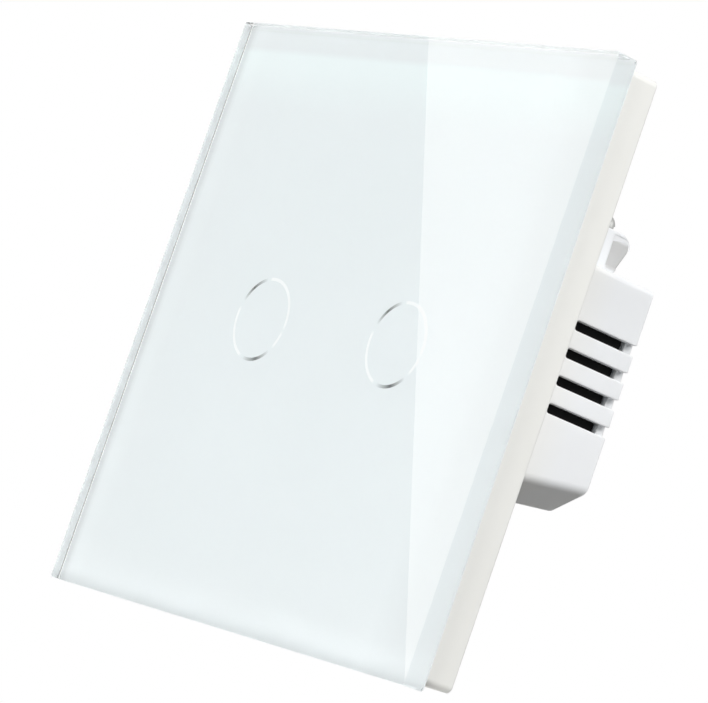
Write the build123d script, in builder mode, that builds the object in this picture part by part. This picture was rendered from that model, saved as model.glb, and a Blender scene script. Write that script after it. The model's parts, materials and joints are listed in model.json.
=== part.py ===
from build123d import *

import os
from math import cos, radians, sin, tan

# Two-ring touch light switch for a round wall box with two screws.
# Seen from the room, +X is to the right and +Z is up. +Y points into the wall.
# The origin is the centre of the face that rests on the wall. Lengths are in millimetres.

os.makedirs("parts", exist_ok=True)

# Glass panel and its print
panel_side = 86.0
panel_corner_radius = 0.6
glass_thickness = 3.2
glass_chamfer = 0.25
print_thickness = 0.15
print_inset = 0.3
ring_casing_inset = 9.1
ring_height = 0.1
ring_radius = 6.0
ring_line = 0.36
ring_clearance = 0.02

# Frame behind the glass
frame_depth = 5.1
frame_inset = 0.95
frame_corner_radius = 1.0
frame_wall = 1.8
ledge_width = 5.0
ledge_thickness = 1.0
tape_thickness = 0.3
tape_width = 4.0
tape_clearance = 0.1
prong_width = 5.0
prong_thickness = 1.2
prong_spacing = 44.0
prong_clearance = 0.3
prong_end_gap = 0.3
pry_notch_width = 8.0
pry_notch_depth = 1.2

# Mounting plate
plate_clearance = 0.6
plate_corner_radius = 2.0
plate_thickness = 1.6
plate_rim_width = 1.0
plate_rim_height = 1.0
box_screw_spacing = 60.0
box_slot_width = 4.2
box_slot_length = 8.0
box_slot_pad = 1.4
box_slot_pad_height = 0.6
collar_wall = 0.8
collar_gap = 0.6
seat_depth = 0.4
seat_clearance = 0.1

# Rear casing
casing_width = 50.0
casing_depth = 25.55
casing_top = 19.9
casing_shoulder = -9.35
casing_bottom = -12.85
casing_wall = 1.35
casing_edge_radius = 0.8
facet_edge_radius = 1.6
facet_angle = 30.0
facet_draft = 7.2
bottom_draft = 6.6
boss_radius = 2.4
boss_sink = 0.4
boss_lift = 1.0
pilot_radius = 1.05
post_radius = 1.8
post_boss_gap = 0.7
post_spacing_bottom = 23.0
post_wall_gap = 0.2
post_sink = 0.2

# Vent slots
slot_count = 4
slot_pitch = 3.95
slot_height = 1.45
slot_end_radius = 0.45
slot_mouth_radius = 0.8
slot_reach = 11.77
slot_drop = 14.65

# Terminal bay on top of the casing
terminal_names = ("neutral", "line", "load_1", "load_2")
terminal_pitch = 7.95
terminal_lift = 7.7
fin_thickness = 1.4
fin_height = 7.0
fin_tip_reach = 0.45
fin_foot_back = 2.15
fin_corner_radius = 1.9
fin_pocket_depth = 0.35
fin_pocket_tilt = 5.0
fin_pocket_rim = 0.55
fin_pocket_reach = 3.45
fin_pocket_lift = 2.05
bay_wall = 1.0
bay_web = 1.2
bay_clearance = 0.1
deck_height = 3.1
deck_inset = 4.8

# Terminal pieces
cage_width = 5.8
cage_height = 5.2
cage_gap = 1.5
cage_side_wall = 0.7
cage_front_wall = 1.0
cage_thread_wall = 1.8
cage_play = 1.2
cage_travel = 2.5
cage_end_gap = 0.3
wire_space = 4.6
busbar_width = 3.9
busbar_thickness = 1.0
busbar_height = 5.9
busbar_leg_lift = 0.2
busbar_leg_thickness = 0.8
busbar_leg_clearance = 0.3
clamp_screw_radius = 1.5
clamp_screw_clearance = 0.05
clamp_screw_head_radius = 1.9
clamp_screw_head_height = 1.7
clamp_screw_head_round = 1.2
clamp_screw_slot_width = 0.8
clamp_screw_slot_depth = 0.8

# Boards
board_thickness = 1.6
board_clearance = 0.4
board_bottom_clearance = 0.2
board_hole_radius = 1.15
board_spacing = 3.0
tongue_clearance = 0.3
tongue_top_gap = 0.2

# Screws and spacers
plate_screw_radius = 1.0
plate_screw_head_radius = 2.1
plate_screw_length = 9.0
plate_screw_clearance = 0.15
countersink_angle = 90.0
board_screw_radius = 1.0
board_screw_head_radius = 1.9
board_screw_head_height = 1.2
board_screw_grip = 5.0
screw_slot_width = 0.6
screw_slot_depth = 0.5
spacer_radius = 1.9
pilot_overrun = 1.0

# Touch springs, light guides and lamps
spring_radius = 3.0
spring_wire = 0.6
spring_turns = 4
spring_gap = 0.1
guide_wall = 1.0
guide_gap = 0.15
guide_clearance = 0.15
guide_foot_width = 0.8
guide_foot_thickness = 0.6
lamp_count = 4
lamp_length = 1.6
lamp_width = 0.8
lamp_height = 0.6
lamp_gap = 0.8

# Small parts of the boards
touch_chip_length = 9.9
touch_chip_width = 3.9
touch_chip_height = 1.1
touch_chip_place = (0.0, 6.5)
header_pins = 5
header_spacing = 2.54
header_width = 2.5
header_height = 1.0
header_place = (0.0, -6.0)
header_pin_radius = 0.3
socket_height = 1.8
socket_hole_radius = 0.45
header_pin_gap = 0.2
film_capacitor_width_share = 0.45
film_capacitor_depth = 10.0
film_capacitor_length = 12.0
film_capacitor_side_share = -0.525
film_capacitor_height = 5.0
film_capacitor_round = 0.6
electrolytic_radius_share = 0.328
electrolytic_length = 11.5
electrolytic_side_share = 0.37
electrolytic_height = 9.5
electrolytic_groove_radius = 0.4
electrolytic_groove_lift = 2.0
varistor_radius = 3.6
varistor_thickness_share = 0.213
varistor_lift = 1.2
varistor_gap = 0.9
varistor_height = 1.0
lead_radius = 0.3
fuse_width_share = 0.65
fuse_depth = 7.0
fuse_length = 3.8
fuse_side_share = -0.49
fuse_height = -5.0
fuse_round = 0.5
choke_radius_share = 0.246
choke_core_share = 0.73
choke_flange = 1.0
choke_length = 8.0
choke_side_share = 0.33
choke_height = -3.0
regulator_width_share = 0.4
regulator_depth = 1.5
regulator_length = 3.9
regulator_side_share = -0.246
regulator_height = 14.0
chip_leg_count = 4
chip_leg_width = 0.4
chip_leg_reach = 0.9
chip_leg_height = 0.5

# Relays
relay_width = 10.2
relay_back_gap = 0.15
relay_length = 18.4
relay_wall = 0.7
relay_round = 0.4
relay_side_gap = 0.45
relay_drop = 1.3
relay_fit = 0.1
relay_base_lift = 0.4
relay_base_height = 1.6
relay_pin_width = 1.0
relay_pin_thickness = 0.5
coil_place = -2.6
bobbin_radius = 3.9
bobbin_flange = 0.8
bobbin_tube_radius = 2.0
bobbin_bore_clearance = 0.05
winding_radius = 3.6
winding_clearance = 0.05
core_radius = 1.3
pole_radius = 2.6
pole_thickness = 0.65
yoke_width = 7.2
yoke_thickness = 1.0
yoke_side_thickness = 1.2
yoke_side_gap = 0.2
armature_gap = 0.6
armature_thickness = 0.8
armature_heel = 1.0
armature_reach = 4.4
armature_stop_gap = 0.06
hinge_gap = 0.05
arm_width = 3.0
arm_thickness = 0.3
arm_gap = 0.55
arm_reach = 1.3
contact_place = 6.4
contact_radius = 1.1
contact_drop = 0.6
contact_strip_thickness = 0.5
contact_button_height = 0.3

# A cut runs this far past the faces that it opens
overrun = 1.0

# Places that follow from the sizes
glass_back = -(frame_depth + print_thickness)
print_back = -frame_depth
ledge_front = tape_thickness - frame_depth
ledge_back = ledge_front + ledge_thickness
frame_side = panel_side - 2 * frame_inset
frame_opening = frame_side - 2 * frame_wall
plate_side = frame_opening - 2 * plate_clearance
prong_place = frame_opening / 2 - ledge_width + prong_thickness / 2 + prong_clearance
ring_side = casing_width / 2 - ring_casing_inset
ring_places = [(-ring_side, ring_height), (ring_side, ring_height)]
prong_places = [(x, z) for x in (-prong_spacing / 2, prong_spacing / 2) for z in (-prong_place, prong_place)]
guide_outer_radius = ring_radius + guide_wall / 2
collar_radius = guide_outer_radius + guide_clearance
foot_radius = guide_outer_radius + guide_foot_width
casing_inner_half = casing_width / 2 - casing_wall
casing_inner_top = casing_top - casing_wall
rear_wall_front = casing_depth - casing_wall
boss_side = casing_inner_half - boss_radius + boss_sink
boss_upper = casing_inner_top - boss_radius + boss_sink
boss_lower = casing_shoulder + boss_lift
boss_places = [(x, z) for x in (-boss_side, boss_side) for z in (boss_lower, boss_upper)]
post_side = boss_side - boss_radius - post_boss_gap - post_radius
post_upper = casing_inner_top - post_wall_gap - post_radius
post_lower = casing_bottom + casing_wall + post_radius - post_sink
post_places = [
    (-post_side, post_upper),
    (post_side, post_upper),
    (-post_spacing_bottom / 2, post_lower),
    (post_spacing_bottom / 2, post_lower),
]
control_board_front = lamp_gap + lamp_height
control_board_back = control_board_front + board_thickness
power_board_front = control_board_back + board_spacing
power_board_back = power_board_front + board_thickness
terminal_count = len(terminal_names)
bay_half = terminal_count * terminal_pitch / 2 + fin_thickness / 2
web_front = power_board_back + bay_clearance
web_back = web_front + bay_web
terminal_places = [(number - (terminal_count - 1) / 2) * terminal_pitch for number in range(terminal_count)]
terminal_height = casing_top + terminal_lift
fin_top = casing_top + fin_height
fin_tip = casing_depth + fin_tip_reach
fin_foot = casing_depth - fin_foot_back
fin_pocket_front = casing_depth - fin_pocket_reach
fin_pocket_back = fin_tip - fin_pocket_rim
fin_pocket_height = fin_height - fin_pocket_rim - fin_pocket_lift
deck_top = casing_top + deck_height
deck_back = casing_depth - deck_inset
cage_front = web_back + cage_gap
busbar_front = cage_front + cage_front_wall + wire_space
busbar_back = busbar_front + busbar_thickness
cage_back = busbar_back + cage_play + cage_thread_wall
clamp_screw_head_front = cage_back + cage_travel + cage_end_gap
slot_front = casing_depth - slot_reach
slot_middle = casing_top - slot_drop
relay_middle = slot_middle - relay_drop
leg_bottom = deck_top + busbar_leg_lift
leg_top = leg_bottom + busbar_leg_thickness
relay_side = casing_inner_half - relay_side_gap - relay_width / 2


def depth_plane(depth):
    """The upright plane at this depth. Its normal points out of the wall, into the room."""
    return Plane.XZ.offset(-depth)


def face_room(places, depth):
    """Planes at these places and this depth that face into the room."""
    return [Plane(origin=(x, depth, z), x_dir=(1, 0, 0), z_dir=(0, -1, 0)) for x, z in places]


def block(size_x, front, back, size_z, place=(0, 0), mode=Mode.ADD):
    """A block of the open part, from its front depth to its back depth."""
    with BuildSketch(depth_plane(back)) as outline:
        with Locations(place):
            Rectangle(size_x, size_z)
    extrude(outline.sketch, amount=back - front, mode=mode)


def rod(radius, front, back, place=(0, 0), mode=Mode.ADD):
    """A round bar of the open part along +Y, from its front depth to its back depth."""
    with BuildSketch(depth_plane(back)) as outline:
        with Locations(place):
            Circle(radius)
    extrude(outline.sketch, amount=back - front, mode=mode)


def save(builder, name):
    """Give the finished piece its name and write it."""
    builder.part.label = name
    export_step(builder.part, f"parts/{name}.step")


# Glass panel with ground edges
with BuildPart() as glass_panel:
    with BuildSketch(depth_plane(glass_back)):
        RectangleRounded(panel_side, panel_side, panel_corner_radius)
    extrude(amount=glass_thickness)
    chamfer(glass_panel.edges().group_by(Axis.Y)[0], glass_chamfer)
    chamfer(glass_panel.edges().group_by(Axis.Y)[-1], glass_chamfer)
save(glass_panel, "glass_panel")

# White print on the back of the glass, open where the rings show
with BuildPart() as glass_print:
    with BuildSketch(depth_plane(print_back)):
        RectangleRounded(panel_side - 2 * print_inset, panel_side - 2 * print_inset, panel_corner_radius)
        with Locations(*ring_places):
            Circle(ring_radius + ring_line / 2, mode=Mode.SUBTRACT)
            Circle(ring_radius - ring_line / 2)
    extrude(amount=print_thickness)
save(glass_print, "glass_print")

# Silver rings that mark where to touch
for number, place in enumerate(ring_places, start=1):
    with BuildPart() as touch_ring:
        with BuildSketch(depth_plane(print_back)):
            with Locations(place):
                Circle(ring_radius + ring_line / 2 - ring_clearance)
                Circle(ring_radius - ring_line / 2 + ring_clearance, mode=Mode.SUBTRACT)
        extrude(amount=print_thickness)
    save(touch_ring, f"touch_ring_{number}")

# Tape that holds the glass on the frame's ledge
with BuildPart() as glass_tape:
    tape_side = frame_opening - 2 * tape_clearance
    with BuildSketch(depth_plane(ledge_front)):
        Rectangle(tape_side, tape_side)
        Rectangle(tape_side - 2 * tape_width, tape_side - 2 * tape_width, mode=Mode.SUBTRACT)
    extrude(amount=tape_thickness)
save(glass_tape, "glass_tape")

# Frame behind the glass, with a ledge for the tape, four prongs and a notch to pry it off
with BuildPart() as panel_frame:
    with BuildSketch(depth_plane(0)):
        RectangleRounded(frame_side, frame_side, frame_corner_radius)
        Rectangle(frame_opening, frame_opening, mode=Mode.SUBTRACT)
    extrude(amount=frame_depth)
    with BuildSketch(depth_plane(ledge_back)):
        Rectangle(frame_opening + frame_wall, frame_opening + frame_wall)
        Rectangle(frame_opening - 2 * ledge_width, frame_opening - 2 * ledge_width, mode=Mode.SUBTRACT)
    extrude(amount=ledge_thickness)
    for place in prong_places:
        block(prong_width, ledge_front, -prong_end_gap, prong_thickness, place)
    block(
        pry_notch_width,
        -pry_notch_depth,
        overrun,
        2 * (frame_wall + overrun),
        (0, -frame_side / 2),
        Mode.SUBTRACT,
    )
save(panel_frame, "panel_frame")

# Planes that shape the casing's underside: a drafted floor and a facet at each lower corner
floor_normal = (0, sin(radians(bottom_draft)), -cos(radians(bottom_draft)))
floor_plane = Plane(origin=(0, casing_depth, casing_bottom), z_dir=floor_normal)
facet_planes = [
    Plane(
        origin=(side * casing_width / 2, casing_depth, casing_shoulder),
        z_dir=(
            side * sin(radians(facet_angle)),
            cos(radians(facet_angle)) * tan(radians(facet_draft)),
            -cos(radians(facet_angle)),
        ),
    )
    for side in (-1, 1)
]


def casing_body(inset, front):
    """The casing's outer form, or its hollow when it is drawn in by the wall."""
    width = casing_width - 2 * inset
    top = casing_top - inset
    bottom = casing_bottom - casing_depth
    with BuildPart() as body:
        block(width, front, casing_depth - inset, top - bottom, (0, (top + bottom) / 2))
        for plane in [floor_plane, *facet_planes]:
            split(bisect_by=plane.offset(-inset), keep=Keep.BOTTOM)
    return body.part


casing_outside = casing_body(0, -seat_depth)
casing_hollow = casing_body(casing_wall, -seat_depth - overrun)
casing_seat = casing_body(-seat_clearance, -seat_depth)
bay_foot = casing_top - casing_wall

# Mounting plate with slots for the wall box screws, a collar round each light guide,
# and a shallow seat for the casing
with BuildPart() as mounting_plate:
    with BuildSketch(depth_plane(0)):
        RectangleRounded(plate_side, plate_side, plate_corner_radius)
    extrude(amount=plate_thickness)
    with BuildSketch(depth_plane(-plate_thickness)):
        RectangleRounded(plate_side, plate_side, plate_corner_radius)
        rim_opening = plate_side - 2 * plate_rim_width
        Rectangle(rim_opening, rim_opening, mode=Mode.SUBTRACT)
    extrude(amount=plate_rim_height)
    for place in ring_places:
        rod(collar_radius + collar_wall, print_back + collar_gap, -plate_thickness, place)
    slot_sides = (-box_screw_spacing / 2, box_screw_spacing / 2)
    with BuildSketch(depth_plane(-plate_thickness)):
        with Locations(*[(x, 0) for x in slot_sides]):
            SlotOverall(box_slot_length + 2 * box_slot_pad, box_slot_width + 2 * box_slot_pad)
    extrude(amount=box_slot_pad_height)
    add(casing_seat, mode=Mode.SUBTRACT)
    bay_seat_top = fin_top + seat_clearance
    block(
        2 * (bay_half + seat_clearance),
        -seat_depth,
        overrun,
        bay_seat_top - bay_foot,
        (0, (bay_seat_top + bay_foot) / 2),
        Mode.SUBTRACT,
    )
    for place in ring_places:
        rod(collar_radius, print_back, overrun, place, Mode.SUBTRACT)
        rod(foot_radius + guide_clearance, -guide_foot_thickness, overrun, place, Mode.SUBTRACT)
    with BuildSketch(depth_plane(overrun)):
        with Locations(*[(x, 0) for x in slot_sides]):
            SlotOverall(box_slot_length, box_slot_width)
        with Locations(*prong_places):
            Rectangle(prong_width + 2 * prong_clearance, prong_thickness + 2 * prong_clearance)
    extrude(amount=plate_thickness + box_slot_pad_height + 2 * overrun, mode=Mode.SUBTRACT)
    with Locations(*face_room(boss_places, -plate_thickness)):
        CounterSinkHole(
            plate_screw_radius + plate_screw_clearance,
            plate_screw_head_radius,
            plate_thickness + overrun,
            countersink_angle,
        )
save(mounting_plate, "mounting_plate")

# Pockets in the outer fins' sides. They are deepest at the front and run out over the rear edge.
with BuildPart() as fin_pockets:
    pocket_floor = Plane(
        origin=(bay_half - fin_pocket_depth, fin_pocket_front, fin_top - fin_pocket_rim),
        x_dir=(sin(radians(fin_pocket_tilt)), cos(radians(fin_pocket_tilt)), 0),
        z_dir=(cos(radians(fin_pocket_tilt)), -sin(radians(fin_pocket_tilt)), 0),
    )
    with BuildSketch(pocket_floor) as pocket_outline:
        Rectangle(fin_pocket_back - fin_pocket_front, fin_pocket_height, align=(Align.MIN, Align.MAX))
        rear_corners = pocket_outline.vertices().sort_by(Axis.X)[-2:]
        fillet(rear_corners.sort_by(Axis.Y)[-1], fin_corner_radius - fin_pocket_rim)
    extrude(amount=fin_thickness + overrun)
    mirror(about=Plane.YZ)

# Rear casing with vent slots that wrap over its rear edge, and the terminal bay on top
with BuildPart() as rear_casing:
    add(casing_outside)
    rim_edges = rear_casing.faces().sort_by(Axis.Y)[0].edges()
    back_edges = rear_casing.faces().sort_by(Axis.Y)[-1].edges()
    long_edges = rear_casing.edges() - rim_edges - back_edges
    fillet(long_edges.sort_by(Axis.Z)[:4], facet_edge_radius)
    fillet(rear_casing.edges().filter_by(Axis.Y).sort_by(Axis.Z)[-2:], casing_edge_radius)
    fillet(rear_casing.faces().sort_by(Axis.Y)[-1].edges(), casing_edge_radius)
    add(casing_hollow, mode=Mode.SUBTRACT)

    for place in boss_places:
        rod(boss_radius, -seat_depth, rear_wall_front + casing_wall / 2, place)
    for place in post_places:
        rod(post_radius, power_board_back, rear_wall_front + casing_wall / 2, place)
    for place in boss_places:
        pilot_front = -seat_depth - overrun
        rod(pilot_radius, pilot_front, plate_screw_length + pilot_overrun, place, Mode.SUBTRACT)
    for place in post_places:
        pilot_back = power_board_back + board_screw_grip + pilot_overrun
        rod(pilot_radius, power_board_back - overrun, pilot_back, place, Mode.SUBTRACT)

    block(2 * bay_half, -seat_depth, web_back, fin_top - bay_foot, (0, (fin_top + bay_foot) / 2))
    block(2 * bay_half, web_front, deck_back, deck_top - bay_foot, (0, (deck_top + bay_foot) / 2))
    for number in range(terminal_count + 1):
        fin_side = (number - terminal_count / 2) * terminal_pitch - fin_thickness / 2
        with BuildSketch(Plane.YZ.offset(fin_side)) as fin_outline:
            with BuildLine():
                Polyline(
                    (web_front, bay_foot),
                    (web_front, fin_top),
                    (fin_tip, fin_top),
                    (fin_foot, casing_top),
                    (fin_foot, bay_foot),
                    close=True,
                )
            make_face()
            fillet(fin_outline.vertices().sort_by(Axis.X)[-1], fin_corner_radius)
        extrude(amount=fin_thickness)
    pocket_half = bay_half - fin_thickness
    pocket_top = fin_top - bay_wall
    pocket_foot = bay_foot - overrun
    block(
        2 * pocket_half,
        -seat_depth - overrun,
        web_front,
        pocket_top - pocket_foot,
        (0, (pocket_top + pocket_foot) / 2),
        Mode.SUBTRACT,
    )
    for x in terminal_places:
        block(
            busbar_width + 2 * busbar_leg_clearance,
            web_front - overrun,
            web_back + overrun,
            leg_top + busbar_leg_clearance - deck_top,
            (x, (leg_top + busbar_leg_clearance + deck_top) / 2),
            Mode.SUBTRACT,
        )
    add(fin_pockets.part, mode=Mode.SUBTRACT)
    for side in (-1, 1):
        slot_length = casing_depth - slot_front + overrun
        with BuildSketch(Plane.YZ.offset(side * casing_inner_half)) as slot_outlines:
            for number in range(slot_count):
                slot_place = slot_middle + (number - (slot_count - 1) / 2) * slot_pitch
                with Locations((slot_front + slot_length / 2, slot_place)):
                    RectangleRounded(slot_length, slot_height, slot_end_radius)
            with Locations((casing_depth + overrun / 2, slot_middle)):
                Rectangle(overrun, (slot_count + 1) * slot_pitch)
            fillet(slot_outlines.vertices().group_by(Axis.X)[-2], slot_mouth_radius)
        extrude(slot_outlines.sketch, amount=side * (casing_wall + overrun), mode=Mode.SUBTRACT)
save(rear_casing, "rear_casing")

# Countersunk screws that hold the plate on the casing
with BuildPart() as plate_screws:
    for x, z in boss_places:
        rod(plate_screw_radius, -plate_thickness, plate_screw_length, (x, z))
        head_depth = plate_screw_head_radius - plate_screw_radius
        with Locations(Plane(origin=(x, head_depth / 2 - plate_thickness, z), z_dir=(0, -1, 0))):
            Cone(plate_screw_radius, plate_screw_head_radius, head_depth)
        slot_back = screw_slot_depth - plate_thickness
        slot_size = 2 * plate_screw_head_radius
        block(slot_size, -plate_thickness - overrun, slot_back, screw_slot_width, (x, z), Mode.SUBTRACT)
        block(screw_slot_width, -plate_thickness - overrun, slot_back, slot_size, (x, z), Mode.SUBTRACT)
save(plate_screws, "plate_screws")

# Outline that both boards share, cut away at the casing's corner bosses
board_half = casing_inner_half - board_clearance
board_top = casing_inner_top - board_clearance
board_bottom = casing_bottom + casing_wall - board_bottom_clearance
notch_x = boss_side - boss_radius - board_clearance
notch_upper = boss_upper - boss_radius - board_clearance
notch_lower = boss_lower + boss_radius + board_clearance


def board_outline():
    """The boards' cross shape with its screw holes, in the open sketch."""
    with Locations((0, (board_top + board_bottom) / 2)):
        Rectangle(2 * notch_x, board_top - board_bottom)
    with Locations((0, (notch_upper + notch_lower) / 2)):
        Rectangle(2 * board_half, notch_upper - notch_lower)
    with Locations(*post_places):
        Circle(board_hole_radius, mode=Mode.SUBTRACT)


with BuildPart() as control_board:
    with BuildSketch(depth_plane(control_board_back)):
        board_outline()
    extrude(amount=board_thickness)
save(control_board, "control_board")

# Power board, with a tongue into the terminal bay
with BuildPart() as power_board:
    tongue_half = bay_half - fin_thickness - tongue_clearance
    tongue_top = fin_top - bay_wall - tongue_top_gap
    with BuildSketch(depth_plane(power_board_back)):
        board_outline()
        with Locations((0, (tongue_top + board_top) / 2)):
            Rectangle(2 * tongue_half, tongue_top - board_top)
    extrude(amount=board_thickness)
save(power_board, "power_board")

# Spacers between the boards, and the screws that hold both on the casing's posts
with BuildPart() as board_spacers:
    for place in post_places:
        rod(spacer_radius, control_board_back, power_board_front, place)
    for place in post_places:
        hole_front = control_board_back - overrun
        rod(board_hole_radius, hole_front, power_board_front + overrun, place, Mode.SUBTRACT)
save(board_spacers, "board_spacers")

with BuildPart() as board_screws:
    for place in post_places:
        head_front = control_board_front - board_screw_head_height
        rod(board_screw_head_radius, head_front, control_board_front, place)
        rod(board_screw_radius, control_board_front, power_board_back + board_screw_grip, place)
        slot_back = head_front + screw_slot_depth
        slot_size = 2 * board_screw_head_radius
        block(slot_size, head_front - overrun, slot_back, screw_slot_width, place, Mode.SUBTRACT)
        block(screw_slot_width, head_front - overrun, slot_back, slot_size, place, Mode.SUBTRACT)
save(board_screws, "board_screws")

# Touch springs, wound from half turns that run on into each other
spring_front = print_back + spring_gap + spring_wire / 2
spring_back = control_board_front - spring_wire / 2
half_turns = 2 * spring_turns
spring_rise = (spring_back - spring_front) / half_turns
spring_coil_gap = 2 * spring_rise - spring_wire
print(f"gap between turns of a touch spring: {spring_coil_gap:.2f} mm")
for number, (x, z) in enumerate(ring_places, start=1):
    with BuildPart() as touch_spring:
        with BuildLine() as spring_path:
            for turn in range(half_turns):
                side = 1 if turn % 2 == 0 else -1
                depth = spring_back - turn * spring_rise
                ThreePointArc(
                    (x + side * spring_radius, depth, z),
                    (x, depth - spring_rise / 2, z + side * spring_radius),
                    (x - side * spring_radius, depth - spring_rise, z),
                )
        with BuildSketch(Plane(origin=(x + spring_radius, spring_back, z), z_dir=(0, 0, 1))):
            Circle(spring_wire / 2)
        sweep(path=spring_path.line)
    save(touch_spring, f"touch_spring_{number}")

# Light guides that carry the lamps' light to the rings
for number, place in enumerate(ring_places, start=1):
    with BuildPart() as light_guide:
        rod(guide_outer_radius, print_back + guide_gap, 0, place)
        rod(foot_radius, -guide_foot_thickness, 0, place)
        rod(guide_outer_radius - guide_wall, print_back, overrun, place, Mode.SUBTRACT)
    save(light_guide, f"light_guide_{number}")

# Indicator lamps under the light guides
with BuildPart() as indicator_lamps:
    with BuildSketch(depth_plane(control_board_front)):
        for place in ring_places:
            with Locations(place):
                with PolarLocations(ring_radius, lamp_count):
                    Rectangle(lamp_width, lamp_length)
    extrude(amount=lamp_height)
save(indicator_lamps, "indicator_lamps")


# Touch controller chip, with legs along both long sides
with BuildPart() as touch_controller:
    block(
        touch_chip_length,
        control_board_front - touch_chip_height,
        control_board_front,
        touch_chip_width,
        touch_chip_place,
    )
    for number in range(2 * chip_leg_count):
        leg_pitch = touch_chip_length / (2 * chip_leg_count)
        leg_x = touch_chip_place[0] + (number + 1 / 2 - chip_leg_count) * leg_pitch
        block(
            chip_leg_width,
            control_board_front - chip_leg_height,
            control_board_front,
            touch_chip_width + 2 * chip_leg_reach,
            (leg_x, touch_chip_place[1]),
        )
save(touch_controller, "touch_controller")

# Pin header on the control board and the socket on the power board
pin_places = [
    (header_place[0] + (number - (header_pins - 1) / 2) * header_spacing, header_place[1])
    for number in range(header_pins)
]
with BuildPart() as pin_header:
    header_back = control_board_back + header_height
    block(header_pins * header_spacing, control_board_back, header_back, header_width, header_place)
    for place in pin_places:
        rod(header_pin_radius, header_back, power_board_front - header_pin_gap, place)
save(pin_header, "pin_header")

with BuildPart() as header_socket:
    socket_front = power_board_front - socket_height
    block(header_pins * header_spacing, socket_front, power_board_front, header_width, header_place)
    for place in pin_places:
        rod(socket_hole_radius, socket_front - overrun, power_board_front + overrun, place, Mode.SUBTRACT)
save(header_socket, "header_socket")

# Parts on the back of the power board
centre_half = relay_side - relay_width / 2
with BuildPart() as film_capacitor:
    block(
        film_capacitor_width_share * centre_half,
        power_board_back,
        power_board_back + film_capacitor_depth,
        film_capacitor_length,
        (film_capacitor_side_share * centre_half, film_capacitor_height),
    )
    fillet(film_capacitor.faces().sort_by(Axis.Y)[-1].edges(), film_capacitor_round)
save(film_capacitor, "film_capacitor")

electrolytic_radius = electrolytic_radius_share * centre_half
electrolytic_place = (electrolytic_side_share * centre_half, electrolytic_height)
with BuildPart() as electrolytic_capacitor:
    can_back = power_board_back + electrolytic_length
    rod(electrolytic_radius, power_board_back, can_back, electrolytic_place)
    fillet(electrolytic_capacitor.edges().sort_by(Axis.Y)[-1], electrolytic_groove_radius)
    groove_x = electrolytic_place[0] + electrolytic_radius
    groove_y = power_board_back + electrolytic_groove_lift
    with BuildSketch(Plane(origin=(groove_x, groove_y, electrolytic_place[1]), z_dir=(0, 0, 1))):
        Circle(electrolytic_groove_radius)
    groove_axis = Axis((electrolytic_place[0], 0, electrolytic_place[1]), (0, 1, 0))
    revolve(axis=groove_axis, mode=Mode.SUBTRACT)
save(electrolytic_capacitor, "electrolytic_capacitor")

varistor_thickness = varistor_thickness_share * centre_half
varistor_place = (centre_half - varistor_gap - varistor_thickness / 2, varistor_height)
with BuildPart() as varistor:
    disc_middle = power_board_back + varistor_lift + varistor_radius
    with BuildSketch(Plane.YZ.offset(varistor_place[0] - varistor_thickness / 2)):
        with Locations((disc_middle, varistor_place[1])):
            Circle(varistor_radius)
    extrude(amount=varistor_thickness)
    for side in (-1, 1):
        lead_place = (varistor_place[0], varistor_place[1] + side * varistor_radius / 2)
        rod(lead_radius, power_board_back, disc_middle, lead_place)
save(varistor, "varistor")

with BuildPart() as fuse:
    fuse_place = (fuse_side_share * centre_half, fuse_height)
    fuse_back = power_board_back + fuse_depth
    block(fuse_width_share * centre_half, power_board_back, fuse_back, fuse_length, fuse_place)
    fillet(fuse.faces().sort_by(Axis.Y)[-1].edges(), fuse_round)
save(fuse, "fuse")

choke_radius = choke_radius_share * centre_half
choke_core_radius = choke_core_share * choke_radius
choke_place = (choke_side_share * centre_half, choke_height)
with BuildPart() as choke:
    choke_back = power_board_back + choke_length
    rod(choke_radius, power_board_back, power_board_back + choke_flange, choke_place)
    rod(choke_core_radius, power_board_back, choke_back, choke_place)
    rod(choke_radius, choke_back - choke_flange, choke_back, choke_place)
save(choke, "choke")

regulator_width = regulator_width_share * centre_half
regulator_place = (regulator_side_share * centre_half, regulator_height)
with BuildPart() as regulator_chip:
    regulator_back = power_board_back + regulator_depth
    block(regulator_width, power_board_back, regulator_back, regulator_length, regulator_place)
    for number in range(chip_leg_count):
        leg_x = regulator_place[0] + (number - (chip_leg_count - 1) / 2) * regulator_width / chip_leg_count
        leg_back = power_board_back + chip_leg_height
        leg_reach = regulator_length + 2 * chip_leg_reach
        block(chip_leg_width, power_board_back, leg_back, leg_reach, (leg_x, regulator_place[1]))
save(regulator_chip, "regulator_chip")

# Relays. Each magnet pulls its armature, and the arm on it closes the lamp's contact.
relay_back = rear_wall_front - relay_back_gap
case_inner_width = relay_width - 2 * relay_wall
case_inner_length = relay_length - 2 * relay_wall
base_front = power_board_back + relay_base_lift
base_back = base_front + relay_base_height
coil_middle = relay_middle + coil_place
yoke_back = base_back + yoke_thickness
bobbin_front = yoke_back + bobbin_bore_clearance
armature_back = relay_back - relay_wall - arm_gap - arm_thickness
armature_front = armature_back - armature_thickness
pole_back = armature_front - armature_gap
pole_front = pole_back - pole_thickness
bobbin_back = pole_front - bobbin_bore_clearance
side_plate_inner = coil_middle - bobbin_radius - yoke_side_gap
side_plate_outer = side_plate_inner - yoke_side_thickness
pivot_height = side_plate_inner
pivot_depth = pole_back + hinge_gap
closing_turn = (armature_gap - armature_stop_gap) / (coil_middle + pole_radius - pivot_height)
contact_middle = relay_middle + contact_place
contact_front = armature_front - contact_drop
contact_travel = closing_turn * (contact_middle + contact_radius - pivot_height)
fixed_contact_back = contact_front - contact_travel - armature_stop_gap
contact_post_place = case_inner_length / 2 + relay_middle - relay_fit - contact_strip_thickness / 2
print(f"relay pivot at depth {pivot_depth:.3f}, height {pivot_height:.3f}, turn {closing_turn:.4f} rad")

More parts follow.
